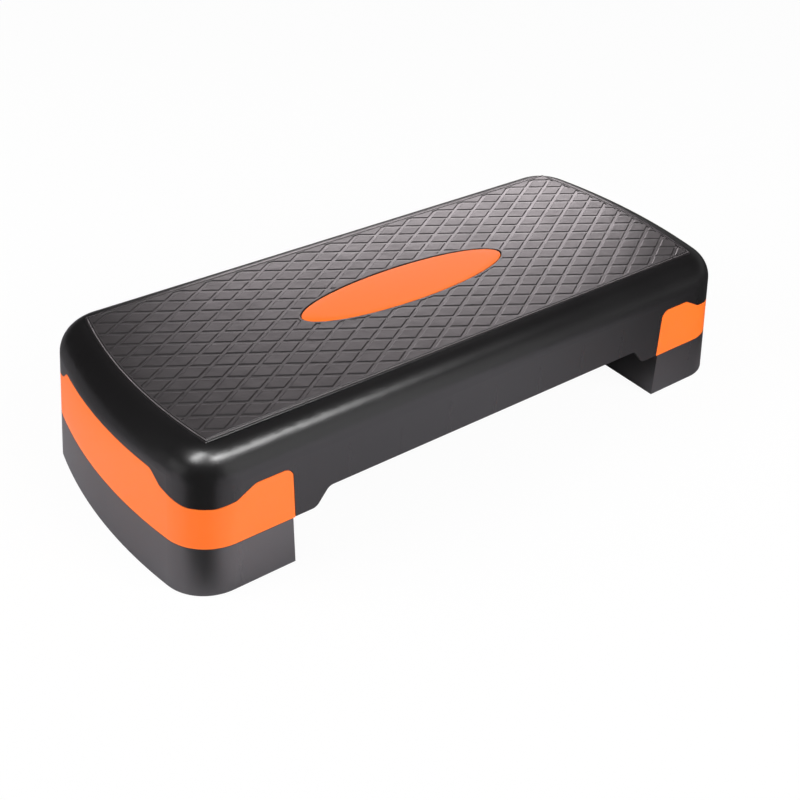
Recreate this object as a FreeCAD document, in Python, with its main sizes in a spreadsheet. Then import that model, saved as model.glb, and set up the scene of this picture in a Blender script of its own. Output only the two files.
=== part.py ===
"""Aerobic step platform with two heights.

A hollow ribbed deck carries a tiled tread mat with an oval badge. A coloured collar is screwed
under each end of the deck, and a riser block plugs into each collar from below. Pulling both risers
off leaves the deck on the rubber pads of its collars, one step lower.

Frame: X along the length, front at -Y, +Z up, origin on the floor under the middle of the deck.
"""
import FreeCAD, Part
import os
import re
import Sketcher

# Driving dimensions, in millimetres. A name that ends in share is a plain ratio.
SIZES = {
    # plan of the whole step, measured where the collars meet the risers
    "step_length": 680,
    "step_width": 293,
    "end_radius": 569,
    "corner_radius": 47,
    # how much the ends and flanks lean in and the corners open, for each millimetre of height
    "end_lean_share": 0.11,
    "flank_lean_share": 0.02,
    "corner_lean_share": 0.03,
    # heights from the floor up
    "pad_proud": 1.5,
    "riser_height": 50,
    "deck_height": 90.5,
    # deck shell
    "edge_radius": 30,
    "deck_wall": 3.5,
    "top_plate": 4,
    "skirt_lift": 18,
    "stub_length": 22,
    "ramp_run": 14,
    "stub_lift": 0.5,
    "ramp_radius": 9,
    "rib_thickness": 2,
    "rib_pitch_long": 56,
    "rib_pitch_cross": 48,
    "rib_set_back": 3,
    # collar and the crown that its upper edge draws on the deck
    "collar_length": 114,
    "collar_wall": 3.5,
    "collar_floor": 3,
    "side_crown": 54,
    "end_crown": 59.5,
    "corner_crown": 40,
    "side_foot": 43.5,
    "end_foot": 48.5,
    "side_step_set_in": 59,
    "side_step_run": 19,
    "end_step_set_in": 49.5,
    "end_step_run": 13,
    "crown_turn_set_in": 28,
    "side_dip_run": 13,
    "end_dip_run": 22,
    "dip_radius": 24,
    "crown_radius": 10,
    "tab_radius": 9,
    "collar_gap": 0.5,
    # riser block
    "riser_shy": 2,
    "riser_wall": 3.5,
    "riser_top": 3,
    "seam_gap": 0.4,
    # webs inside collars and risers
    "web_thickness": 2,
    "web_pitch": 58,
    "web_set_in": 58,
    "web_drop": 10,
    # posts of the risers and their sockets
    "post_set_in": 28,
    "post_flank_set_in": 88.5,
    "post_radius": 13,
    "post_tip_radius": 12.4,
    "post_height": 25,
    "post_wall": 3,
    "socket_gap": 0.4,
    "socket_wall": 3,
    "socket_end_gap": 2,
    # screws that hold the collars
    "screw_end_set_in": 29,
    "screw_flank_set_in": 88.5,
    "screw_side_set_in": 24,
    "screw_radius": 2,
    "screw_length": 22,
    "screw_fit": 0.05,
    "screw_head_radius": 3.8,
    "screw_head_height": 2.6,
    "driver_gap": 0.7,
    "driver_slot_width": 1,
    "driver_slot_depth": 1.2,
    "pillar_radius": 7,
    "pillar_cap": 8,
    "boss_radius": 5.5,
    # rubber pads
    "pad_outer_set_in": 37,
    "pad_inner_set_in": 20,
    "pad_flank_set_in": 31.5,
    "pad_radius": 10,
    "pad_seat": 1.5,
    "pad_bevel": 0.8,
    "pad_stem_radius": 3,
    "pad_stem_length": 8,
    "pad_fit": 0.05,
    "pad_wall": 3,
    "pad_recess_gap": 0.5,
    # tread mat
    "mat_end_border": 37,
    "mat_flank_border": 29.5,
    "mat_bow_set_in": 13,
    "mat_sheet": 3,
    "mat_gap": 0.3,
    "bead_width": 1.6,
    "bead_set_in": 0.8,
    "tile_rise": 1.3,
    "tile_border": 3.6,
    "tile_pitch_long": 35.8,
    "tile_pitch_cross": 22.3,
    "tile_groove": 5.6,
    # oval badge
    "oval_length": 244,
    "oval_width": 64,
    "oval_gap": 0.6,
    "oval_rim": 2.6,
    "badge_thickness": 3.6,
    # how far a cutter runs past the face that it cuts
    "overrun": 1,
}

# Levels above the floor, as formulas of the driving dimensions
SEAM = "(pad_proud + riser_height)"
RISER_TOP = "(" + SEAM + " - seam_gap)"
RIM = "(" + SEAM + " + deck_height)"
MAT_SEAT = "(" + RIM + " - mat_sheet)"
PLATE_UNDER = "(" + MAT_SEAT + " - top_plate)"
RIB_FOOT = "(" + SEAM + " + skirt_lift + rib_set_back)"
COLLAR_PAD_FACE = "(" + SEAM + " - pad_proud)"

# Places along X at the right end, from the end inwards
STEP_END = "(step_length / 2)"
CROWN_TURN = "(" + STEP_END + " - crown_turn_set_in)"
WEB_PLACE = "(" + STEP_END + " - web_set_in)"
SIDE_DIP = "(" + CROWN_TURN + " - side_dip_run)"
SIDE_STEP_LOW = "(" + STEP_END + " - side_step_set_in)"
SIDE_STEP_HIGH = "(" + SIDE_STEP_LOW + " - side_step_run)"
COLLAR_START = "(" + STEP_END + " - collar_length)"
RISER_START = "(" + COLLAR_START + " + riser_shy)"
STUB_REACH = "(" + COLLAR_START + " - stub_length)"
SKIRT_REACH = "(" + STUB_REACH + " - ramp_run)"
POST_REACH = "(" + COLLAR_START + " + post_set_in)"
SCREW_END_REACH = "(" + STEP_END + " - screw_end_set_in)"
SCREW_SIDE_REACH = "(" + COLLAR_START + " + screw_side_set_in)"
MAT_END = "(" + STEP_END + " - mat_end_border)"

# Places along Y at the back, from the flank inwards
FLANK = "(step_width / 2)"
END_DIP = "(" + FLANK + " - end_dip_run)"
END_STEP_LOW = "(" + FLANK + " - end_step_set_in)"
END_STEP_HIGH = "(" + END_STEP_LOW + " - end_step_run)"
POST_SPREAD = "(" + FLANK + " - post_flank_set_in)"
SCREW_SPREAD = "(" + FLANK + " - screw_flank_set_in)"
PAD_SPREAD = "(" + FLANK + " - pad_flank_set_in)"
MAT_FLANK = "(" + FLANK + " - mat_flank_border)"

# Radius of the mat's bowed ends, which run nearly parallel to those of the step
MAT_BOW = "(end_radius - mat_bow_set_in)"

# End of the step, as the sign of X, and side of the step, as the sign of Y
ENDS = {"left": -1, "right": 1}
FLANKS = {"front": -1, "back": 1}
PAD_REACHES = {
    "outer": "(" + STEP_END + " - pad_outer_set_in)",
    "inner": "(" + COLLAR_START + " + pad_inner_set_in)",
}
HALF_TURN = FreeCAD.Rotation(FreeCAD.Vector(0, 0, 1), 180)

# How closely an edge has to follow a marked line, as a share of its length
SLACK_SHARE = 0.001

doc = FreeCAD.newDocument("aerobic_step")
sheet = doc.addObject("Spreadsheet::Sheet", "size")
for row, (alias, value) in enumerate(SIZES.items(), start=1):
    sheet.set("A%d" % row, alias)
    sheet.set("B%d" % row, str(value))
    sheet.setAlias("B%d" % row, alias)
doc.recompute()

parts = []


def formula(text):
    """Point each driving dimension that a formula names at its cell of the sheet."""
    return re.sub(r"[a-z_]+", lambda m: "size." + m.group() if m.group() in SIZES else m.group(), text)


def number(text):
    """The value that a formula has now."""
    return float(sheet.evalExpression(formula(text)))


def bind(item, **formulas):
    """Bind properties of a document object to formulas."""
    for name, text in formulas.items():
        item.setExpression(name, formula(text))
    return item


def place(item, x="0", y="0", z="0"):
    """Bind the place of a document object to formulas."""
    for axis, text in (("x", x), ("y", y), ("z", z)):
        item.setExpression("Placement.Base." + axis, formula(text))
    return item


def box(name, low, high):
    """Box between two corners that are given as formulas."""
    item = doc.addObject("Part::Box", name)
    spans = ["(%s) - (%s)" % (b, a) for a, b in zip(low, high)]
    bind(item, Length=spans[0], Width=spans[1], Height=spans[2])
    return place(item, *low)


def cylinder(name, radius, low, high, x="0", y="0"):
    """Upright cylinder between two levels."""
    item = doc.addObject("Part::Cylinder", name)
    bind(item, Radius=radius, Height="(%s) - (%s)" % (high, low))
    return place(item, x, y, low)


def cone(name, low_radius, high_radius, low, high, x="0", y="0"):
    """Upright cone frustum between two levels."""
    item = doc.addObject("Part::Cone", name)
    bind(item, Radius1=low_radius, Radius2=high_radius, Height="(%s) - (%s)" % (high, low))
    return place(item, x, y, low)


def cut(name, base, tool):
    """Base less tool."""
    item = doc.addObject("Part::Cut", name)
    item.Base = base
    item.Tool = tool
    return item


def fuse(name, shapes):
    """Union of shapes."""
    item = doc.addObject("Part::MultiFuse", name)
    item.Shapes = shapes
    return item


def common(name, shapes):
    """Space that all shapes share."""
    item = doc.addObject("Part::MultiCommon", name)
    item.Shapes = shapes
    return item


def group(name, shapes):
    """Shapes that stay separate solids of one object."""
    item = doc.addObject("Part::Compound", name)
    item.Links = shapes
    return item


def node(label, item, turned=False):
    """Keep an object as a sub-part of the step, turned half round where it belongs to the left end."""
    if turned:
        item.Placement = FreeCAD.Placement(FreeCAD.Vector(), HALF_TURN)
    item.Label = label
    parts.append(item)
    return item


def plane(body, role):
    """Origin plane of a body."""
    return next(feature for feature in body.Origin.OriginFeatures if feature.Role == role)


def sketch_on(body, role):
    """New sketch on an origin plane of a body."""
    sketch = body.newObject("Sketcher::SketchObject", body.Name + "_sketch")
    sketch.AttachmentSupport = [(plane(body, role), "")]
    sketch.MapMode = "FlatFace"
    return sketch


def hold(sketch, kind, links, text=None):
    """Add a constraint, bound to a formula where it has a size."""
    if text is None:
        sketch.addConstraint(Sketcher.Constraint(kind, *links))
        return
    index = sketch.addConstraint(Sketcher.Constraint(kind, *links, number(text)))
    sketch.setExpression("Constraints[%d]" % index, formula(text))


def rounded(body, feature, name, radius, wanted):
    """Fillet the edges of a feature that a test picks."""
    doc.recompute()
    edges = ["Edge%d" % i for i, edge in enumerate(feature.Shape.Edges, start=1) if wanted(edge)]
    fillet = body.newObject("PartDesign::Fillet", name)
    fillet.Base = (feature, edges)
    bind(fillet, Radius=radius)
    return fillet


def outline_block(name, inset, low, high, top_radius=None):
    """Block with the step's plan outline, set in by inset all round, between two levels of its walls."""
    body = doc.addObject("PartDesign::Body", name)
    loft = body.newObject("PartDesign::AdditiveLoft", name + "_loft")
    loft.Profile = outline_sketch(body, inset, high)
    loft.Sections = [outline_sketch(body, inset, low)]
    loft.Ruled = True
    body.Tip = loft
    if top_radius:
        doc.recompute()
        top = loft.Shape.BoundBox.ZMax
        slack = loft.Shape.BoundBox.ZLength * SLACK_SHARE
        rounded(body, loft, name + "_edge", top_radius, lambda edge: top - edge.BoundBox.ZMin < slack)
    return body


def outline_sketch(body, inset, level):
    """Plan outline at a level: straight flanks, bowed ends and round corners, where the walls lean in.

    The bow's radius is such that the arcs meet at the same angle at every level, so the walls are smooth.
    """
    sketch = sketch_on(body, "XY_Plane")
    sketch.setExpression("AttachmentOffset.Base.z", formula(level))
    rise = "(%s - %s)" % (level, SEAM)
    width = "(%s - %s - flank_lean_share * %s)" % (FLANK, inset, rise)
    corner = "(corner_radius - %s + corner_lean_share * %s)" % (inset, rise)
    bow = "(%s + (%s - %s) * (end_radius - corner_radius) / (%s - corner_radius))" % (
        corner, width, corner, FLANK)
    bow_offset = "(%s - %s + %s + end_lean_share * %s)" % (bow, STEP_END, inset, rise)
    draw_outline(sketch, number(width), number(corner), number(bow), number(bow_offset))
    for first in range(8):
        hold(sketch, "Tangent", (first, 2, (first + 1) % 8, 1))
    for line in (0, 4):
        hold(sketch, "Horizontal", (line,))
    for arc in (3, 5, 7):
        hold(sketch, "Equal", (1, arc))
    hold(sketch, "Equal", (2, 6))
    for arc in (2, 6):
        hold(sketch, "PointOnObject", (arc, 3, -1))
    hold(sketch, "Radius", (1,), corner)
    hold(sketch, "Radius", (2,), bow)
    hold(sketch, "DistanceX", (2, 3, -1, 1), bow_offset)
    hold(sketch, "DistanceX", (-1, 1, 6, 3), bow_offset)
    hold(sketch, "DistanceY", (0, 1, -1, 1), width)
    hold(sketch, "DistanceY", (-1, 1, 4, 1), width)
    return sketch


def draw_outline(sketch, width, corner, bow, bow_offset):
    """Lines and arcs of the plan outline, anticlockwise from the front flank."""
    vector = FreeCAD.Vector
    corner_y = width - corner
    swing = bow - corner
    corner_x = (swing ** 2 - corner_y ** 2) ** 0.5 - bow_offset
    east, north = vector(1, 0, 0), vector(0, 1, 0)
    tip = vector((corner_x + bow_offset) / swing, corner_y / swing, 0)

    def toward(x, y):
        return vector(tip.x * x, tip.y * y, 0)

    def arc(centre, radius, start, end):
        middle = (start + end).normalize()
        return Part.Arc(centre + start * radius, centre + middle * radius, centre + end * radius)

    right, left = -east * bow_offset, east * bow_offset
    shapes = [
        Part.LineSegment(vector(-corner_x, -width, 0), vector(corner_x, -width, 0)),
        arc(vector(corner_x, -corner_y, 0), corner, -north, toward(1, -1)),
        arc(right, bow, toward(1, -1), toward(1, 1)),
        arc(vector(corner_x, corner_y, 0), corner, toward(1, 1), north),
        Part.LineSegment(vector(corner_x, width, 0), vector(-corner_x, width, 0)),
        arc(vector(-corner_x, corner_y, 0), corner, north, toward(-1, 1)),
        arc(left, bow, toward(-1, 1), toward(-1, -1)),
        arc(vector(-corner_x, -corner_y, 0), corner, toward(-1, -1), -north),
    ]
    for shape in shapes:
        sketch.addGeometry(shape, False)


def prism(name, role, points, length, symmetric, rounds):
    """Prism over a polygon of formula points. Rounds pairs a radius with the points that it rounds."""
    body = doc.addObject("PartDesign::Body", name)
    sketch = sketch_on(body, role)
    spots = [FreeCAD.Vector(number(x), number(y), 0) for x, y in points]
    count = len(spots)
    for i in range(count):
        sketch.addGeometry(Part.LineSegment(spots[i], spots[(i + 1) % count]), False)
    for i in range(count):
        hold(sketch, "Coincident", (i, 2, (i + 1) % count, 1))
    for i, (x, y) in enumerate(points):
        hold(sketch, "DistanceX", (-1, 1, i, 1), x)
        hold(sketch, "DistanceY", (-1, 1, i, 1), y)
    pad = body.newObject("PartDesign::Pad", name + "_pad")
    pad.Profile = sketch
    pad.SideType = "Symmetric" if symmetric else "One side"
    bind(pad, Length=length)
    doc.recompute()
    axis = "XLength" if role == "YZ_Plane" else "YLength"
    full = getattr(pad.Shape.BoundBox, axis)
    feature = pad
    for radius, corners in rounds:
        marks = [sketch.Placement.multVec(spots[i]) for i in corners]
        feature = rounded(body, feature, "%s_round_%d" % (name, corners[0]), radius,
                          lambda edge: runs_over(edge, marks, axis, full))
    return body


def runs_over(edge, marks, axis, full):
    """Whether an edge runs the full length of a prism over one of the marked points."""
    slack = full * SLACK_SHARE
    if abs(getattr(edge.BoundBox, axis) - full) > slack:
        return False
    line = edge.Curve
    return any(line.value(line.parameter(mark)).distanceToPoint(mark) < slack for mark in marks)


def collar_space(name, gap):
    """Space under the crown line at the right end, grown by a gap. Collar and deck share it."""
    level = "%s + %%s + %s" % (SEAM, gap)
    floor = "%s - overrun" % SEAM
    inner = "%s - %s" % (COLLAR_START, gap)
    side = [
        (inner, floor),
        (CROWN_TURN, floor),
        (CROWN_TURN, level % "corner_crown"),
        (SIDE_DIP, level % "corner_crown"),
        (SIDE_STEP_LOW, level % "side_foot"),
        (SIDE_STEP_HIGH, level % "side_crown"),
        (inner, level % "side_crown"),
    ]
    rim = "(%s + overrun)" % FLANK
    right_half = [
        (rim, floor),
        (rim, level % "corner_crown"),
        (END_DIP, level % "corner_crown"),
        (END_STEP_LOW, level % "end_foot"),
        (END_STEP_HIGH, level % "end_crown"),
    ]
    left_half = [("-" + y, z) for y, z in reversed(right_half)]
    rounds = [("dip_radius", [3]), ("crown_radius", [4, 5]), ("tab_radius", [6])]
    flanks = prism(name + "_flanks", "XZ_Plane", side, "2 * " + rim, True, rounds)
    end = prism(name + "_end", "YZ_Plane", right_half + left_half, "crown_turn_set_in + overrun", False,
                [("dip_radius", [2, 7]), ("crown_radius", [3, 4, 5, 6])])
    place(end, x=CROWN_TURN)
    return fuse(name, [flanks, end])


def turned_copy(name, item):
    """The same shape at the other end of the step."""
    copy = group(name, [item])
    copy.Placement = FreeCAD.Placement(FreeCAD.Vector(), HALF_TURN)
    return copy


def webs(name, start, low, high):
    """Crossing webs that stiffen a collar or a riser."""
    half = "web_thickness / 2"
    near, far = WEB_PLACE + " - " + half, WEB_PLACE + " + " + half
    walls = [box(name + "_cross", (near, "-" + FLANK, low), (far, FLANK, high))]
    for i, steps in enumerate(("-1.5", "-0.5", "0.5", "1.5")):
        near, far = ["%s * web_pitch %s %s" % (steps, side, half) for side in "-+"]
        walls.append(box("%s_long_%d" % (name, i), (start, near, low), (STEP_END, far, high)))
    return walls


def screw_spots():
    """Places of the screws at the right end, with the crown height that each one reaches."""
    return [
        (SCREW_END_REACH, "-" + SCREW_SPREAD, "end_crown"),
        (SCREW_END_REACH, SCREW_SPREAD, "end_crown"),
        (SCREW_SIDE_REACH, "0", "side_crown"),
    ]


def pad_spots():
    """Places of the rubber pads at the right end."""
    spreads = ["%d * %s" % (sign, PAD_SPREAD) for sign in FLANKS.values()]
    return [(reach, spread) for reach in PAD_REACHES.values() for spread in spreads]


def post_spots():
    """Places of the riser posts at the right end."""
    return [(POST_REACH, "%d * %s" % (sign, POST_SPREAD)) for sign in FLANKS.values()]


def mat_block(name, grow, low, high):
    """Block with the mat's outline: straight flanks, bowed ends and sharp corners."""
    half_length = "(%s + %s)" % (MAT_END, grow)
    half_width = "(%s + %s)" % (MAT_FLANK, grow)
    bow = "(%s + %s)" % (MAT_BOW, grow)
    bow_offset = "(%s - %s)" % (MAT_BOW, MAT_END)
    flanks = box(name + "_flanks", ("-" + half_length, "-" + half_width, low),
                 (half_length, half_width, high))
    bows = [cylinder("%s_bow_%s" % (name, end), bow, low, high, "%d * %s" % (-sign, bow_offset))
            for end, sign in ENDS.items()]
    return common(name, [flanks] + bows)


def oval_block(name, grow, low, high):
    """Upright block over the badge's oval, grown all round."""
    oval = doc.addObject("Part::Ellipse", name + "_line")
    bind(oval, MajorRadius="oval_length / 2 + " + grow, MinorRadius="oval_width / 2 + " + grow)
    place(oval, z=low)
    block = doc.addObject("Part::Extrusion", name)
    block.Base = oval
    block.DirMode = "Custom"
    block.Dir = FreeCAD.Vector(0, 0, 1)
    block.Solid = True
    return bind(block, LengthFwd="(%s) - (%s)" % (high, low))


def make_deck():
    """Deck shell: tapered skin with a rounded rim, cut for mat, collars and hands, ribbed underneath."""
    shell = outline_block("deck_skin", "0", SEAM, RIM, "edge_radius")
    shell = cut("deck_with_seat", shell, mat_block("mat_seat", "mat_gap", MAT_SEAT, RIM + " + overrun"))
    space = collar_space("collar_notch", "collar_gap")
    shell = cut("deck_notched_right", shell, space)
    shell = cut("deck_notched", shell, turned_copy("collar_notch_left", space))
    shell = cut("deck_with_passage", shell, deck_passage())
    hollow = outline_block("deck_hollow", "deck_wall", SEAM + " - overrun", PLATE_UNDER,
                           "edge_radius - deck_wall")
    studs, pilots = deck_bosses()
    stiffeners = fuse("deck_stiffeners", deck_ribs() + studs)
    drilled = cut("deck_drilled", stiffeners, group("deck_pilots", pilots))
    node("deck_shell", cut("deck", shell, cut("deck_cells", hollow, drilled)))


def deck_passage():
    """Space under the long lower edge, between the stubs that stand beside the collars."""
    floor = SEAM + " - overrun"
    stub = SEAM + " + stub_lift"
    edge = SEAM + " + skirt_lift"
    half = [(COLLAR_START, floor), (COLLAR_START, stub), (STUB_REACH, stub), (SKIRT_REACH, edge)]
    arch = half + [("-" + x, z) for x, z in reversed(half)]
    rounds = [("ramp_radius", [2, 3, 4, 5])]
    return prism("passage", "XZ_Plane", arch, "step_width + 2 * overrun", True, rounds)


def deck_ribs():
    """Ribs along and across the underside, from the top plate down to just above the long lower edge."""
    roof = PLATE_UNDER + " + overrun"
    half = "rib_thickness / 2"
    along = int(number("(%s - corner_radius) / rib_pitch_cross" % FLANK))
    across = int(number("(%s - corner_radius) / rib_pitch_long" % STEP_END))
    ribs = []
    for i in range(-across, across + 1):
        x = "%d * rib_pitch_long" % i
        ribs.append(box("rib_across_%d" % (i + across), (x + " - " + half, "-" + FLANK, RIB_FOOT),
                        (x + " + " + half, FLANK, roof)))
    for i in range(-along, along + 1):
        y = "%d * rib_pitch_cross" % i
        ribs.append(box("rib_along_%d" % (i + along), ("-" + STEP_END, y + " - " + half, RIB_FOOT),
                        (STEP_END, y + " + " + half, roof)))
    return ribs


def deck_bosses():
    """Bosses under the top plate that take the collar screws, and their pilot holes."""
    roof = PLATE_UNDER + " + overrun"
    studs = []
    pilots = []
    for end, sign in ENDS.items():
        for i, (reach, y, crown) in enumerate(screw_spots()):
            x = "%d * %s" % (sign, reach)
            foot = "%s + %s" % (SEAM, crown)
            tip = foot + " - pillar_cap + screw_length + overrun"
            studs.append(cylinder("deck_stud_%s_%d" % (end, i), "boss_radius", foot, roof, x, y))
            pilots.append(cylinder("deck_pilot_%s_%d" % (end, i), "screw_radius + screw_fit",
                                   foot + " - overrun", tip, x, y))
    return studs, pilots


def make_mat():
    """Tread mat: sheet with an oval hole, a bead round its edge, a rim round the hole and raised tiles."""
    top = RIM + " + tile_rise"
    root = RIM + " - tile_rise"
    past_root = root + " - overrun"
    past_top = top + " + overrun"
    bead = cut("mat_bead", mat_block("mat_bead_out", "-bead_set_in", root, top),
               mat_block("mat_bead_in", "-(bead_set_in + bead_width)", past_root, past_top))
    rim = oval_block("mat_rim", "(oval_gap + oval_rim)", root, top)
    base = fuse("mat_base", [mat_block("mat_sheet_block", "0", MAT_SEAT, RIM), bead, rim])
    hole = oval_block("mat_hole", "oval_gap", MAT_SEAT + " - overrun", past_top)
    node("tread_mat", fuse("mat", [cut("mat_with_hole", base, hole), tile_field()]))


def tile_field():
    """Raised rhombic tiles in staggered rows: each whole one inside the bead and off the oval's rim."""
    half_x = number("tile_pitch_long / 2")
    half_y = number("tile_pitch_cross / 2")
    across = 2 * half_x * half_y / (half_x ** 2 + half_y ** 2) ** 0.5
    tile_share = 1 - number("tile_groove") / across
    low = number(RIM + " - tile_rise")
    rise = FreeCAD.Vector(0, 0, number("2 * tile_rise"))
    columns = int(number(MAT_END) / half_x)
    rows = int(number(MAT_FLANK) / half_y)
    prisms = []
    for column in range(-columns, columns + 1):
        for row in range(-rows, rows + 1):
            x, y = column * half_x, row * half_y
            corners = [FreeCAD.Vector(x + tile_share * half_x * a, y + tile_share * half_y * b, low)
                       for a, b in ((1, 0), (0, 1), (-1, 0), (0, -1))]
            if (column + row) % 2 == 0 and all(on_field(corner) for corner in corners):
                prisms.append(Part.Face(Part.makePolygon(corners + corners[:1])).extrude(rise))
    tiles = doc.addObject("Part::Feature", "tile_field")
    tiles.Shape = Part.makeCompound(prisms)
    return tiles


def on_field(spot):
    """Whether a point lies inside the mat's border and outside the rim of the oval."""
    bow_offset = number("%s - %s" % (MAT_BOW, MAT_END))
    bow = number(MAT_BOW + " - tile_border")
    clear_of_oval = (spot.x / number("oval_length / 2 + oval_gap + 2 * oval_rim")) ** 2 \
        + (spot.y / number("oval_width / 2 + oval_gap + 2 * oval_rim")) ** 2 > 1
    inside_bow = (abs(spot.x) + bow_offset) ** 2 + spot.y ** 2 < bow ** 2
    return clear_of_oval and inside_bow and abs(spot.y) < number(MAT_FLANK + " - tile_border")


def make_badge():
    """Oval badge that lies in the hole of the mat."""
    node("oval_badge", oval_block("badge", "0", MAT_SEAT, MAT_SEAT + " + badge_thickness"))


def make_collar(end):
    """Collar: a band flush with the deck, a floor with sockets and pad seats, webs and screw pillars."""
    name = end + "_collar"
    crown = "%s + end_crown" % SEAM
    floor = "%s + collar_floor" % SEAM
    skin = common(name + "_skin", [outline_block(name + "_block", "0", SEAM, crown + " + overrun"),
                                   collar_space(name + "_space", "0")])
    room = common(name + "_room", [
        outline_block(name + "_hollow", "collar_wall", floor, crown + " + 2 * overrun"),
        box(name + "_inside", (COLLAR_START + " + collar_wall", "-step_width", floor),
            ("step_length", "step_width", crown + " + 2 * overrun"))])
    low = SEAM
    filled = webs(name + "_web", COLLAR_START, low, "%s + corner_crown - web_drop" % SEAM)
    holes = []
    for i, (x, y) in enumerate(post_spots()):
        depth = "%s + post_height + socket_end_gap" % SEAM
        bore = "post_radius + socket_gap"
        filled.append(cylinder("%s_socket_%d" % (name, i), bore + " + socket_wall", low,
                               depth + " + socket_wall", x, y))
        holes.append(cylinder("%s_socket_bore_%d" % (name, i), bore, low + " - overrun", depth, x, y))
    for i, (x, y) in enumerate(pad_spots()):
        stem = "%s + pad_seat + pad_stem_length + pad_fit" % SEAM
        filled.append(cylinder("%s_pad_boss_%d" % (name, i), "pad_radius + pad_wall", low,
                               stem + " + pad_wall", x, y))
        holes.append(pad_hole("%s_pad_hole_%d" % (name, i), SEAM, x, y))
    for i, (x, y, height) in enumerate(screw_spots()):
        cap = "%s + %s" % (SEAM, height)
        filled.append(cylinder("%s_pillar_%d" % (name, i), "pillar_radius", low, cap + " + overrun", x, y))
        holes.append(fuse("%s_screw_way_%d" % (name, i), [
            cylinder("%s_driver_way_%d" % (name, i), "screw_head_radius + driver_gap", low + " - overrun",
                     cap + " - pillar_cap", x, y),
            cylinder("%s_screw_hole_%d" % (name, i), "screw_radius + screw_fit", low,
                     cap + " + overrun", x, y)]))
    solid = cut(name + "_hollowed", skin, cut(name + "_cells", room, fuse(name + "_inner", filled)))
    node(name, cut(name + "_bored", solid, group(name + "_holes", holes)), turned=end == "left")


def pad_hole(name, face, x, y):
    """Seat and stem hole of a rubber pad, above the face that the pad sits in."""
    seat = "%s + pad_seat" % face
    return fuse(name, [
        cylinder(name + "_seat", "pad_radius + pad_fit", face + " - overrun", seat, x, y),
        cylinder(name + "_stem", "pad_stem_radius + pad_fit", face,
                 seat + " + pad_stem_length + pad_fit", x, y)])


def make_riser(end):
    """Riser: a block open below with webs and pad columns, and two hollow posts on its top."""
    name = end + "_riser"
    base = "pad_proud"
    skin = common(name + "_skin", [
        outline_block(name + "_block", "0", base, RISER_TOP),
        box(name + "_half", (RISER_START, "-step_width", base), ("step_length", "step_width", RISER_TOP))])
    room = common(name + "_room", [
        outline_block(name + "_hollow", "riser_wall", base + " - overrun", RISER_TOP + " - riser_top"),
        box(name + "_inside", (RISER_START + " + riser_wall", "-step_width", base + " - overrun"),
            ("step_length", "step_width", RISER_TOP + " - riser_top"))])
    filled = webs(name + "_web", RISER_START, base, RISER_TOP)
    posts = []
    bores = []
    for i, (x, y) in enumerate(post_spots()):
        tip = "%s + post_height" % RISER_TOP
        posts.append(cone("%s_post_%d" % (name, i), "post_radius", "post_tip_radius",
                          RISER_TOP + " - riser_top / 2", tip, x, y))
        bores.append(cylinder("%s_post_bore_%d" % (name, i), "post_tip_radius - post_wall",
                              RISER_TOP + " - riser_top - overrun", tip + " - post_wall", x, y))
    for i, (x, y) in enumerate(pad_spots()):
        filled.append(cylinder("%s_pad_column_%d" % (name, i), "pad_radius + pad_wall", base,
                               RISER_TOP, x, y))
        bores.append(pad_hole("%s_pad_hole_%d" % (name, i), base, x, y))
        bores.append(cylinder("%s_pad_recess_%d" % (name, i), "pad_radius + pad_recess_gap",
                              COLLAR_PAD_FACE, RISER_TOP + " + overrun", x, y))
    solid = cut(name + "_hollowed", skin, cut(name + "_cells", room, fuse(name + "_inner", filled)))
    solid = fuse(name + "_with_posts", [solid] + posts)
    node(name, cut(name + "_bored", solid, group(name + "_holes", bores)), turned=end == "left")


def make_pad(label, face, x, y):
    """Rubber pad: a disc with a bevelled foot, and a stem that is pressed into its seat."""
    foot = "%s - pad_proud" % face
    disc_top = "%s + pad_seat" % face
    node(label, fuse(label + "_solid", [
        cone(label + "_bevel", "pad_radius - pad_bevel", "pad_radius", foot, foot + " + pad_bevel", x, y),
        cylinder(label + "_disc", "pad_radius", foot + " + pad_bevel", disc_top, x, y),
        cylinder(label + "_stem", "pad_stem_radius", disc_top, disc_top + " + pad_stem_length", x, y)]))


def make_screws(end, sign):
    """Pan-head screws of one collar, each a separate solid with a cross slot in its head."""
    name = end + "_collar_screws"
    screws = []
    for i, (reach, y, height) in enumerate(screw_spots()):
        x = "%d * %s" % (sign, reach)
        seat = "%s + %s - pillar_cap" % (SEAM, height)
        foot = "%s - screw_head_height" % seat
        body = fuse("%s_body_%d" % (name, i), [
            cylinder("%s_head_%d" % (name, i), "screw_head_radius", foot, seat, x, y),
            cylinder("%s_shank_%d" % (name, i), "screw_radius", seat, seat + " + screw_length", x, y)])
        arms = [("screw_head_radius", "driver_slot_width"), ("driver_slot_width", "screw_head_radius")]
        slots = []
        for j, (long, wide) in enumerate(arms):
            low = ("%s - %s / 2" % (x, long), "%s - %s / 2" % (y, wide), foot + " - overrun")
            high = ("%s + %s / 2" % (x, long), "%s + %s / 2" % (y, wide), foot + " + driver_slot_depth")
            slots.append(box("%s_slot_%d_%d" % (name, i, j), low, high))
        screws.append(cut("%s_screw_%d" % (name, i), body, fuse("%s_cross_%d" % (name, i), slots)))
    node(name, group(name + "_group", screws))


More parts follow.
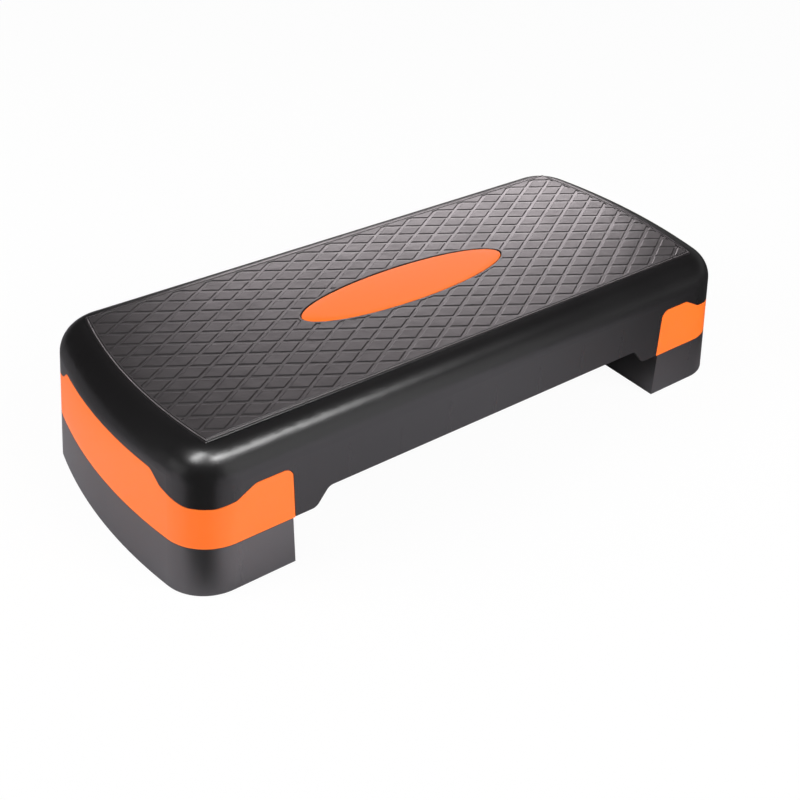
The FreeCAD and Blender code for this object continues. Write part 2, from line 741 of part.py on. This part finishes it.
def check_and_write():
    """Stop on any failed object or bad shape, then write one file for each sub-part."""
    doc.recompute()
    failed = [item.Name for item in doc.Objects if {"Invalid", "Error"} & set(item.State)]
    assert not failed, "failed objects: %s" % failed
    for item in parts:
        shape = item.Shape
        assert not shape.isNull() and shape.isValid() and shape.Solids, "bad shape: " + item.Label
    os.makedirs("parts", exist_ok=True)
    for item in parts:
        item.Shape.exportStep("parts/%s.step" % item.Label)
        bounds = item.Shape.BoundBox
        print("%-30s solids %d volume %.0f  x %.1f..%.1f  y %.1f..%.1f  z %.2f..%.2f" % (
            item.Label, len(item.Shape.Solids), item.Shape.Volume, bounds.XMin, bounds.XMax,
            bounds.YMin, bounds.YMax, bounds.ZMin, bounds.ZMax))


make_deck()
make_mat()
make_badge()
for end_name, end_sign in ENDS.items():
    make_collar(end_name)
    make_riser(end_name)
    make_screws(end_name, end_sign)
    for flank_name, flank_sign in FLANKS.items():
        for reach_name, pad_reach in PAD_REACHES.items():
            pad_place = ("%d * %s" % (end_sign, pad_reach), "%d * %s" % (flank_sign, PAD_SPREAD))
            for owner, pad_face in (("riser", "pad_proud"), ("collar", SEAM)):
                pad_label = "%s_%s_pad_%s_%s" % (end_name, owner, flank_name, reach_name)
                make_pad(pad_label, pad_face, *pad_place)
check_and_write()
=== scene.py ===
"""Aerobic step platform: finishes of its parts, the tiled tread, and a plain studio around them."""
import math

import bmesh
import bpy
from mathutils import Matrix, Vector


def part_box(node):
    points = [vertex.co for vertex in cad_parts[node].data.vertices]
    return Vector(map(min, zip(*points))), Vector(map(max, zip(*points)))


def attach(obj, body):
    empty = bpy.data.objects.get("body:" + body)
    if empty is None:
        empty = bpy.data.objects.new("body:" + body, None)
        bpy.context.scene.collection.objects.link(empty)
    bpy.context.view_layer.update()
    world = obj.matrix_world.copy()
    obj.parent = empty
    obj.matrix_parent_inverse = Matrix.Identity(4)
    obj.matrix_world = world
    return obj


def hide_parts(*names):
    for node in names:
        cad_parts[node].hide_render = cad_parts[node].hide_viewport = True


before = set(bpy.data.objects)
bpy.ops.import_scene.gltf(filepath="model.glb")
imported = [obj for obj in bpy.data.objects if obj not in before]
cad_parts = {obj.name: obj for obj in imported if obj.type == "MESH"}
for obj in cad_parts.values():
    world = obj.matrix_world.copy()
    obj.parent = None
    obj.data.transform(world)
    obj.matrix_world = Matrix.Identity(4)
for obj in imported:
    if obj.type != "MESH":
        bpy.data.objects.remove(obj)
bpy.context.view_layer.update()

MM = 0.001

# Camera of the photograph: turn about the step, rise above the floor, roll, reach, slide and lens
VIEW_TURN = math.radians(-37.647)
VIEW_RISE = math.radians(35.387)
VIEW_ROLL = math.radians(-1.838)
VIEW_REACH = 1.238
VIEW_SLIDE = (-2.05 * MM, -1.93 * MM)
VIEW_PIVOT = Vector((0, 0, 1.5 * MM))
LENS = 51.964
SENSOR = 36

# Tread mat: raised tiles in a plain border. A bevel is how far it reaches in and how far it drops
MAT_END_RADIUS = 556 * MM
TILE_HALF_LONG = 17.9 * MM
TILE_HALF_CROSS = 11.15 * MM
TILE_RISE = 0.6 * MM
TILE_DRAFT = 0.12 * MM
TILE_BEVEL = (0.9 * MM, 0.36 * MM)
RIM_BEVEL = (0.15 * MM, 0.15 * MM)
CHANNEL_WIDTH = 3.3 * MM
FIELD_INSET = 4.8 * MM
# Border of the mat from its edge inwards: how far in, and how far below the tiles' tops
EDGE_DROP = 1.3 * MM
BEAD_LIP = 0.25 * MM
BEAD_SLOPE = 0.2 * MM
BEAD_GROOVE = 0.5 * MM
BORDER = [
    (0, EDGE_DROP + BEAD_LIP),
    (0.35 * MM, EDGE_DROP),
    (0.8 * MM, EDGE_DROP),
    (0.9 * MM, BEAD_LIP),
    (1.25 * MM, 0),
    (1.5 * MM, 0),
    (2.4 * MM, BEAD_SLOPE),
    (2.5 * MM, BEAD_GROOVE),
    (3.1 * MM, BEAD_GROOVE),
    (3.2 * MM, BEAD_LIP),
    (3.55 * MM, 0),
]
# Oval badge, the rings of its domed face as shares of its size, and the rim of the mat around it
OVAL_GAP = 0.9 * MM
OVAL_RIM = 2.8 * MM
OVAL_LIP = 0.4 * MM
BADGE_EDGE = 0.6 * MM
BADGE_DOME = 0.4 * MM
BADGE_SHARES = (0.85, 0.6, 0.3, 0.05)
# How finely round lines are drawn, how far a cutter runs past a face, what is too thin to keep
ARC_STEPS = 40
OVAL_STEPS = 160
EDGE_STEPS = 3
OVERRUN = 1 * MM
SLIVER = 0.01 * MM
TREAD_SMOOTH = math.radians(20)
BADGE_SMOOTH = math.radians(40)

# Noises of the finishes: waves per metre, and detail
PLASTIC_DRIFT = (11, 3)
PLASTIC_GRAIN = (1500, 2)
RUBBER_CLOUD = (28, 4)
RUBBER_WAVE = (75, 2)
RUBBER_GRAIN = (1900, 3)
PAD_PATCHES = (90, 2)
ZINC_HAZE = (600, 3)
# What the noises do: height of a bump, share in the colour, part in the roughness
PLASTIC_GRAIN_HEIGHT = 0.012 * MM
PLASTIC_DRIFT_ROUGHNESS = 0.06
PLASTIC_GRAIN_ROUGHNESS = 0.05
RUBBER_WAVE_HEIGHT = 0.3 * MM
RUBBER_GRAIN_HEIGHT = 0.02 * MM
RUBBER_CLOUD_SHARE = 0.6
RUBBER_CLOUD_ROUGHNESS = 0.16
RUBBER_GRAIN_ROUGHNESS = 0.08
ZINC_ROUGHNESS = 0.28
ZINC_HAZE_ROUGHNESS = 0.2
# Smooth skin on the rubber: floor of the tread's channels, patches on the pads
CHANNEL_SKIN = 0.25
PAD_SKIN = 0.1
# Sink marks, glossier than the wall around them: opposite the deck's cross ribs, and where a collar's
# or riser's web stands. A reach or a change is (from, to, start, end)
RIB_PITCH = 56 * MM
RIB_REACH = (98 * MM, 116 * MM, 1, 0)
WEB_PLACE = 282 * MM
SINK_WIDTH = 5.5 * MM
SINK_GLOSS = 0.03

# Floor: pale for plain light, white to the camera
WHITE = (1, 1, 1, 1)
FLOOR_REACH = 12
FLOOR_PALE = (0.85, 0.85, 0.85, 1)
FLOOR_WHITE_SHARE = 0.955
# Floor as gloss shows it, with painted light and shade: a painted pool of light in front and to the left,
# painted shadow under the deck and a painted dark wedge at the left.
# A change goes (from, to, start, end) along the floor, in metres
FLOOR_PAINTED_LIGHT = (0.97, 0.93, 1, 1)
FLOOR_PAINTED_SHADE = (0.05, 0.05, 0.05, 1)
LIT_LEFT = (-0.36, -0.17, 0.62, 1)
LIT_RIGHT = (0.03, 0.45, 1, 0)
LIT_RIGHT_START = 0.22
LIT_RIGHT_SLANT = 0.6
LIT_BACK = (0.04, 0.24, 1, 0.25)
LIT_BACK_SHIFT = (-0.42, -0.34, 0, 0.14)
WEDGE_SIDE = (-0.28, -0.21, 1, 0)
WEDGE_BACK = (-0.18, -0.12, 1, 0)
WEDGE_SLANT = 0.37
UNDER_LONG = (0.19, 0.25, 1, 0)
UNDER_CROSS = (0.1, 0.15, 1, 0)
# Surroundings: even for plain light, and for gloss dim overhead, pale low down on the right
SKY_EVEN = (0.3, 0.3, 0.3, 1)
SKY_DIM = (0.02, 0.02, 0.02, 1)
SKY_PALE = (0.2, 0.2, 0.2, 1)
SKY_FADE = (0.1, 0.5, 1, 0)
SKY_SIDE = (0.2, 0.6, 0, 1)
# Where the lamps point, and their colours
LAMP_AIM = Vector((0, 0, 0.07))
PLAIN_TINT = (1, 1, 1)
ROSE_TINT = (1, 0.91, 0.94)


class Wire:
    """Output socket of a node that takes part in Python expressions. Each operator adds a Math node."""

    def __init__(self, finish, socket):
        self.finish = finish
        self.socket = socket

    def math(self, operation, *values):
        return self.finish.node("ShaderNodeMath", {"operation": operation}, dict(enumerate(values)))

    def __add__(self, other):
        return self.math("ADD", self, other)

    def __sub__(self, other):
        return self.math("SUBTRACT", self, other)

    def __rsub__(self, other):
        return self.math("SUBTRACT", other, self)

    def __mul__(self, other):
        return self.math("MULTIPLY", self, other)

    def __truediv__(self, other):
        return self.math("DIVIDE", self, other)

    def __abs__(self):
        return self.math("ABSOLUTE", self)

    __radd__ = __add__
    __rmul__ = __mul__

    def fraction(self):
        return self.math("FRACT", self)

    def at_most(self, limit):
        return self.math("MINIMUM", self, limit)

    def step(self, low, high, start, end):
        """Smooth change from start to end while the value goes from low to high."""
        sockets = {"Value": self, "From Min": low, "From Max": high, "To Min": start, "To Max": end}
        return self.finish.node("ShaderNodeMapRange", {"interpolation_type": "SMOOTHSTEP"}, sockets)


class Finish:
    """Node tree of one finish, of the floor or of the world."""

    def __init__(self, tree):
        self.tree = tree

    def node(self, kind, settings=None, sockets=None, output=0):
        """New node with its settings and the values or links of its sockets, as the wire of one output."""
        item = self.tree.nodes.new(kind)
        for name, value in (settings or {}).items():
            setattr(item, name, value)
        for key, value in (sockets or {}).items():
            self.feed(item.inputs[key], value)
        return Wire(self, item.outputs[output])

    def feed(self, socket, value):
        """Link a wire to a socket, or set a plain value on it."""
        if isinstance(value, Wire):
            self.tree.links.new(value.socket, socket)
        else:
            socket.default_value = value

    def place(self, axis):
        """One coordinate of the surface point, in the step's own frame."""
        spot = self.node("ShaderNodeTexCoord", output="Object")
        return self.node("ShaderNodeSeparateXYZ", sockets={0: spot}, output=axis)

    def noise(self, scale, detail):
        """Noise from 0 to 1, with its scale in waves per metre."""
        spot = self.node("ShaderNodeTexCoord", output="Object")
        return self.node("ShaderNodeTexNoise", sockets={"Vector": spot, "Scale": scale, "Detail": detail})

    def mix(self, first, second, share):
        """Colour between two colours, which a Mix node keeps in its sockets 6 and 7 and its output 2."""
        return self.node("ShaderNodeMix", {"data_type": "RGBA"}, {0: share, 6: first, 7: second}, output=2)

    def bump(self, height):
        """Surface normal over a height in metres."""
        return self.node("ShaderNodeBump", sockets={"Strength": 1, "Distance": 1, "Height": height})


def solid_finish(name, fixed):
    """Material with a Principled surface and the values that are the same all over it."""
    material = bpy.data.materials.new(name)
    material.use_nodes = True
    surface = material.node_tree.nodes["Principled BSDF"]
    for socket, value in fixed.items():
        surface.inputs[socket].default_value = value
    return material, Finish(material.node_tree), surface.inputs


def moulded_plastic(name, dark, light, roughness, fixed, sinks=None):
    """Moulded plastic: slow colour drift, fine eroded grain, and glossier sink marks over its ribs."""
    material, finish, surface = solid_finish(name, fixed)
    drift = finish.noise(*PLASTIC_DRIFT)
    grain = finish.noise(*PLASTIC_GRAIN)
    rough = roughness + drift * PLASTIC_DRIFT_ROUGHNESS + grain * PLASTIC_GRAIN_ROUGHNESS
    if sinks:
        rough = rough - sinks(finish) * SINK_GLOSS
    finish.feed(surface["Base Color"], finish.mix(dark, light, drift))
    finish.feed(surface["Roughness"], rough)
    finish.feed(surface["Normal"], finish.bump(grain * PLASTIC_GRAIN_HEIGHT))
    return material


def deck_sinks(finish):
    """Sink marks along the deck's skirt, one opposite each cross rib."""
    away = abs((finish.place("X") / RIB_PITCH + 0.5).fraction() - 0.5) * RIB_PITCH
    return away.step(0, SINK_WIDTH, 1, 0) * finish.place("Z").step(*RIB_REACH)


def end_sinks(finish):
    """Sink mark of the cross web in a collar or a riser."""
    return abs(abs(finish.place("X")) - WEB_PLACE).step(0, SINK_WIDTH, 1, 0)


def deck_black():
    """Glossy black of the deck."""
    return moulded_plastic(
        "deck_black", dark=(0.0065, 0.006, 0.0065, 1), light=(0.0085, 0.008, 0.0085, 1), roughness=0.24,
        fixed={"Specular IOR Level": 0.55}, sinks=deck_sinks)


def riser_black():
    """Greyer black of the risers."""
    return moulded_plastic(
        "riser_black", dark=(0.014, 0.0135, 0.015, 1), light=(0.019, 0.018, 0.0195, 1), roughness=0.25,
        fixed={"Specular IOR Level": 0.85, "IOR": 1.7}, sinks=end_sinks)


def collar_orange():
    """Orange of the collars."""
    return moulded_plastic(
        "collar_orange", dark=(0.98, 0.163, 0.009, 1), light=(1.0, 0.174, 0.012, 1), roughness=0.29,
        fixed={"Specular IOR Level": 0.5}, sinks=end_sinks)


def badge_orange():
    """Duller orange of the oval badge."""
    return moulded_plastic(
        "badge_orange", dark=(0.98, 0.168, 0.009, 1), light=(1.0, 0.179, 0.012, 1), roughness=0.42,
        fixed={"Specular IOR Level": 0.12})


def rubber(name, dark, light, roughness, fixed, skin):
    """Rubber: cloudy colour, an uneven face, pitted grain, and a smooth skin in places."""
    material, finish, surface = solid_finish(name, fixed)
    cloud = finish.noise(*RUBBER_CLOUD)
    wave = finish.noise(*RUBBER_WAVE)
    grain = finish.noise(*RUBBER_GRAIN)
    shade = cloud * RUBBER_CLOUD_SHARE + grain * (1 - RUBBER_CLOUD_SHARE)
    rough = roughness + cloud * RUBBER_CLOUD_ROUGHNESS + grain * RUBBER_GRAIN_ROUGHNESS
    height = wave * RUBBER_WAVE_HEIGHT + grain * RUBBER_GRAIN_HEIGHT
    finish.feed(surface["Base Color"], finish.mix(dark, light, shade))
    finish.feed(surface["Roughness"], rough)
    finish.feed(surface["Coat Weight"], skin(finish))
    finish.feed(surface["Normal"], finish.bump(height))
    return material


def channel_skin(finish):
    """Smooth skin on the floor of the tread's channels."""
    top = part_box("tread_mat")[1].z
    return finish.place("Z").step(top - TILE_RISE, top - TILE_RISE / 2, CHANNEL_SKIN, 0)


def pad_skin(finish):
    """Thin skin in patches on a pad."""
    return finish.noise(*PAD_PATCHES) * PAD_SKIN


def tread_rubber():
    """Grey-black rubber of the tread."""
    return rubber(
        "tread_rubber", dark=(0.015, 0.013, 0.014, 1), light=(0.023, 0.0205, 0.0215, 1), roughness=0.24,
        fixed={"Specular IOR Level": 0.5, "Coat Roughness": 0.22}, skin=channel_skin)


def pad_rubber():
    """Dull rubber of the pads."""
    return rubber(
        "pad_rubber", dark=(0.02, 0.02, 0.02, 1), light=(0.035, 0.035, 0.035, 1), roughness=0.6,
        fixed={"Specular IOR Level": 0.4, "Coat Roughness": 0.4}, skin=pad_skin)


def screw_zinc():
    """Zinc-plated steel of the screws."""
    material, finish, surface = solid_finish("screw_zinc", {"Metallic": 1})
    dark, light = (0.42, 0.43, 0.45, 1), (0.66, 0.66, 0.64, 1)
    haze = finish.noise(*ZINC_HAZE)
    finish.feed(surface["Base Color"], finish.mix(dark, light, haze))
    finish.feed(surface["Roughness"], ZINC_ROUGHNESS + haze * ZINC_HAZE_ROUGHNESS)
    return material


def mesh_object(name, shape):
    """New object from a bmesh, with its normals turned outwards."""
    bmesh.ops.recalc_face_normals(shape, faces=shape.faces)
    mesh = bpy.data.meshes.new(name)
    shape.to_mesh(mesh)
    shape.free()
    item = bpy.data.objects.new(name, mesh)
    bpy.context.scene.collection.objects.link(item)
    return item


def add_stack(shape, rings):
    """Add a closed solid through rings of as many points each, given as (points, level)."""
    loops = [[shape.verts.new((x, y, level)) for x, y in points] for points, level in rings]
    count = len(loops[0])
    for low, high in zip(loops, loops[1:]):
        for i in range(count):
            j = (i + 1) % count
            shape.faces.new((low[i], low[j], high[j], high[i]))
    shape.faces.new(loops[-1])
    shape.faces.new(list(reversed(loops[0])))


def stack(name, rings):
    """New object with one such solid."""
    shape = bmesh.new()
    add_stack(shape, rings)
    return mesh_object(name, shape)


def smooth(item, angle):
    """Shade smoothly across the edges that turn by less than an angle."""
    item.data.shade_smooth()
    item.data.set_sharp_from_angle(angle=angle)


def carve(body, tool):
    """Cut body with tool and drop the tool."""
    cut = body.modifiers.new("cut", "BOOLEAN")
    cut.operation = "DIFFERENCE"
    cut.solver = "EXACT"
    cut.object = tool
    graph = bpy.context.evaluated_depsgraph_get()
    shaped = bpy.data.meshes.new_from_object(body.evaluated_get(graph))
    body.modifiers.clear()
    body.data = shaped
    bpy.data.objects.remove(tool)


def drop_slivers(item):
    """Merge the points and faces that cuts left too thin to see."""
    shape = bmesh.new()
    shape.from_mesh(item.data)
    bmesh.ops.remove_doubles(shape, verts=shape.verts, dist=SLIVER)
    bmesh.ops.dissolve_degenerate(shape, edges=shape.edges, dist=SLIVER)
    shape.to_mesh(item.data)
    shape.free()


def mat_outline(inset):
    """Outline of the mat, set in: straight flanks and bowed ends, anticlockwise from the right front."""
    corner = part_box("tread_mat")[1]
    bow_offset = MAT_END_RADIUS - corner.x
    bow = MAT_END_RADIUS - inset
    swing = math.asin((corner.y - inset) / bow)
    right_end = []
    for i in range(ARC_STEPS + 1):
        angle = swing * (2 * i / ARC_STEPS - 1)
        right_end.append((bow * math.cos(angle) - bow_offset, bow * math.sin(angle)))
    return right_end + [(-x, -y) for x, y in right_end]


def oval(grow):
    """The badge's oval, grown all round."""
    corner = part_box("oval_badge")[1]
    turns = [2 * math.pi * i / OVAL_STEPS for i in range(OVAL_STEPS)]
    return [((corner.x + grow) * math.cos(turn), (corner.y + grow) * math.sin(turn)) for turn in turns]


def tile_spots():
    """Middles of the tiles: staggered rows that cover the whole mat."""
    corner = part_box("tread_mat")[1]
    columns = math.ceil(corner.x / TILE_HALF_LONG)
    rows = math.ceil(corner.y / TILE_HALF_CROSS)
    for column in range(-columns, columns + 1):
        for row in range(-rows, rows + 1):
            if (column + row) % 2 == 0:
                yield column * TILE_HALF_LONG, row * TILE_HALF_CROSS


def tile(x, y, inset):
    """Rhombus of one tile, with its sides set in."""
    half_across = TILE_HALF_LONG * TILE_HALF_CROSS / math.hypot(TILE_HALF_LONG, TILE_HALF_CROSS)
    share = 1 - (CHANNEL_WIDTH / 2 + inset) / half_across
    long, cross = share * TILE_HALF_LONG, share * TILE_HALF_CROSS
    return [(x + long, y), (x, y + cross), (x - long, y), (x, y - cross)]


def side_profile(top, bevel, lift):
    """Side of a raised form as (inset, level): from under its foot up the draft and over a bevel."""
    foot = top - TILE_RISE
    reach, drop = bevel
    return [(-TILE_DRAFT, foot - OVERRUN), (-TILE_DRAFT, foot), (0, top - drop), (reach, top),
            (reach, top + lift)]


def channel_cutter(top):
    """What is cut out of the mat between its tiles: the field, less the tiles and the rim of the oval."""
    edge = side_profile(top, RIM_BEVEL, OVERRUN)[1:]
    cutter = stack("channels", [(mat_outline(FIELD_INSET - inset), level) for inset, level in edge])
    tile_sides = side_profile(top, TILE_BEVEL, 2 * OVERRUN)
    shape = bmesh.new()
    for x, y in tile_spots():
        add_stack(shape, [(tile(x, y, inset), level) for inset, level in tile_sides])
    carve(cutter, mesh_object("tiles", shape))
    rim = OVAL_GAP + OVAL_RIM
    rim_sides = side_profile(top, RIM_BEVEL, 2 * OVERRUN)
    carve(cutter, stack("oval_rim", [(oval(rim - inset), level) for inset, level in rim_sides]))
    return cutter


def make_tread():
    """Tread mat: a bead round its edge, a plain border, and raised tiles round the oval."""
    low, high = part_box("tread_mat")
    seat, top = low.z, high.z
    rings = [(mat_outline(0), seat)] + [(mat_outline(inset), top - drop) for inset, drop in BORDER]
    tread = stack("tread", rings)
    carve(tread, channel_cutter(top))
    hole = [(OVAL_GAP, seat - OVERRUN), (OVAL_GAP, top - OVAL_LIP), (OVAL_GAP + OVAL_LIP, top),
            (OVAL_GAP + OVAL_LIP, top + OVERRUN)]
    carve(tread, stack("hole", [(oval(grow), level) for grow, level in hole]))
    drop_slivers(tread)
    smooth(tread, TREAD_SMOOTH)
    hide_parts("tread_mat")
    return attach(tread, "deck")


def make_badge():
    """Oval badge with a rounded edge and a slightly domed face."""
    low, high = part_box("oval_badge")
    rings = [(oval(0), low.z), (oval(0), high.z - BADGE_EDGE)]
    for i in range(1, EDGE_STEPS + 1):
        turn = math.pi / 2 * i / EDGE_STEPS
        rings.append((oval(BADGE_EDGE * (math.cos(turn) - 1)), high.z + BADGE_EDGE * (math.sin(turn) - 1)))
    face = oval(-BADGE_EDGE)
    for share in BADGE_SHARES:
        level = high.z + BADGE_DOME * (1 - share ** 2)
        rings.append(([(x * share, y * share) for x, y in face], level))
    badge = stack("badge", rings)
    smooth(badge, BADGE_SMOOTH)
    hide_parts("oval_badge")
    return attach(badge, "deck")


def dress(item, material):
    """Give an object one finish."""
    if not item.material_slots:
        item.data.materials.append(material)
    for slot in item.material_slots:
        slot.material = material


def dress_parts():
    """Finish of each part, from the first mark that its name holds. The empty mark fits the rest."""
    finishes = {
        "_pad_": pad_rubber(),
        "_screws": screw_zinc(),
        "_collar": collar_orange(),
        "_riser": riser_black(),
        "": deck_black(),
    }
    for name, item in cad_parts.items():
        mark = next(mark for mark in finishes if mark in name)
        dress(item, finishes[mark])
    dress(make_tread(), tread_rubber())
    dress(make_badge(), badge_orange())


def painted_floor_light(finish):
    """Painted light on the floor as gloss shows it, from 0 to 1: a painted pool of light, less a painted
    dark wedge at the left and a painted shadow under the deck.
    """
    x, y = finish.place("X"), finish.place("Y")
    rightward = x + (y + LIT_RIGHT_START).at_most(0) * LIT_RIGHT_SLANT
    backward = y - x.step(*LIT_BACK_SHIFT)
    lit = x.step(*LIT_LEFT) * rightward.step(*LIT_RIGHT) * backward.step(*LIT_BACK)
    # Painted dark wedge at the left: painted shade on the floor.
    painted_wedge_shade = (x - y * WEDGE_SLANT).step(*WEDGE_SIDE) * y.step(*WEDGE_BACK)
    # Painted shadow on the floor under the deck.
    under = abs(x).step(*UNDER_LONG) * abs(y).step(*UNDER_CROSS)
    return lit * (1 - painted_wedge_shade) * (1 - under)


def make_floor():
    """Plain pale floor: white to the camera with the step's shadow kept, and clear from below."""
    shape = bmesh.new()
    bmesh.ops.create_grid(shape, x_segments=1, y_segments=1, size=FLOOR_REACH)
    floor = mesh_object("floor", shape)
    material, finish, surface = solid_finish("pale_floor", {"Roughness": 1, "Specular IOR Level": 0})
    nodes = material.node_tree.nodes
    camera_ray = finish.node("ShaderNodeLightPath", output="Is Camera Ray")
    glossy_ray = finish.node("ShaderNodeLightPath", output="Is Glossy Ray")
    # Painted light and shade on the floor, seen only by gloss.
    shown = finish.mix(FLOOR_PAINTED_SHADE, FLOOR_PAINTED_LIGHT, painted_floor_light(finish))
    finish.feed(surface["Base Color"], finish.mix(FLOOR_PALE, shown, glossy_ray))
    plain = Wire(finish, nodes["Principled BSDF"].outputs["BSDF"])
    glow = finish.node("ShaderNodeEmission", sockets={"Color": WHITE})
    white_share = camera_ray * FLOOR_WHITE_SHARE
    upper = finish.node("ShaderNodeMixShader", sockets={0: white_share, 1: plain, 2: glow})
    from_below = finish.node("ShaderNodeNewGeometry", output="Backfacing")
    clear = finish.node("ShaderNodeBsdfTransparent")
    whole = finish.node("ShaderNodeMixShader", sockets={0: from_below, 1: upper, 2: clear})
    finish.feed(nodes["Material Output"].inputs["Surface"], whole)
    dress(floor, material)


def make_surroundings():
    """Surroundings: white to the camera, even for plain light, dim overhead and pale low down for gloss."""
    world = bpy.data.worlds.new("studio")
    bpy.context.scene.world = world
    world.use_nodes = True
    finish = Finish(world.node_tree)
    ray = finish.node("ShaderNodeTexCoord", output="Generated")
    height = finish.node("ShaderNodeSeparateXYZ", sockets={0: ray}, output="Z")
    right = finish.node("ShaderNodeSeparateXYZ", sockets={0: ray}, output="X")
    camera_ray = finish.node("ShaderNodeLightPath", output="Is Camera Ray")
    glossy_ray = finish.node("ShaderNodeLightPath", output="Is Glossy Ray")
    shown = finish.mix(SKY_DIM, SKY_PALE, height.step(*SKY_FADE) * right.step(*SKY_SIDE))
    glow = finish.mix(finish.mix(SKY_EVEN, shown, glossy_ray), WHITE, camera_ray)
    finish.feed(world.node_tree.nodes["Background"].inputs["Color"], glow)


def lamp(name, place, size, power, gloss=True, tint=PLAIN_TINT):
    """Soft rectangular lamp that points at the step, either for its gloss or for its plain light."""
    light = bpy.data.lights.new(name, "AREA")
    light.shape = "RECTANGLE"
    light.size, light.size_y = size
    light.energy = power
    light.color = tint
    item = bpy.data.objects.new(name, light)
    item.location = place
    item.rotation_euler = (LAMP_AIM - Vector(place)).to_track_quat("-Z", "Y").to_euler()
    item.visible_glossy = gloss
    item.visible_diffuse = not gloss
    bpy.context.scene.collection.objects.link(item)


def make_lamps():
    """Two fills for plain light. Glints on the shoulder and panels in the walls and the tread for gloss."""
    lamp("front_fill", place=(0.75, -2.0, 1.3), size=(1.4, 1.4), power=54, gloss=False)
    lamp("left_fill", place=(-2.0, 0.75, 1.3), size=(1.4, 1.4), power=46, gloss=False)
    lamp("corner_glint", place=(-0.96, -0.25, 1.42), size=(0.24, 0.75), power=15)
    lamp("nose_glint", place=(-0.47, -0.79, 1.47), size=(0.3, 0.4), power=5)
    lamp("edge_glint", place=(-0.04, -0.76, 1.4), size=(1.14, 0.28), power=21)
    lamp("front_panel", place=(0.36, -1.87, 0.72), size=(1.85, 1.3), power=7.5)
    lamp("left_panel", place=(-2.2, 0.25, 0.5), size=(1.3, 0.9), power=2.8)
    lamp("back_panel", place=(0.9, 1.235, 0.71), size=(1.16, 0.4), power=10.7, tint=ROSE_TINT)


def make_camera():
    """Camera at the photograph's place."""
    level_share = math.cos(VIEW_RISE)
    back_x = math.sin(VIEW_TURN) * level_share
    back_y = -math.cos(VIEW_TURN) * level_share
    back = Vector((back_x, back_y, math.sin(VIEW_RISE)))
    level = Vector((math.cos(VIEW_TURN), math.sin(VIEW_TURN), 0))
    upright = back.cross(level)
    right = level * math.cos(VIEW_ROLL) - upright * math.sin(VIEW_ROLL)
    up = level * math.sin(VIEW_ROLL) + upright * math.cos(VIEW_ROLL)
    lens = bpy.data.cameras.new("camera")
    lens.sensor_fit = "HORIZONTAL"
    lens.sensor_width = SENSOR
    lens.lens = LENS
    camera = bpy.data.objects.new("camera", lens)
    turned = Matrix((right, up, back)).transposed().to_4x4()
    turned.translation = VIEW_PIVOT + back * VIEW_REACH + right * VIEW_SLIDE[0] + up * VIEW_SLIDE[1]
    camera.matrix_world = turned
    bpy.context.scene.collection.objects.link(camera)
    bpy.context.scene.camera = camera


def make_studio():
    """Floor, surroundings, lamps and camera."""
    make_floor()
    make_surroundings()
    make_lamps()
    make_camera()
    bpy.context.scene.view_settings.view_transform = "Standard"


dress_parts()
make_studio()
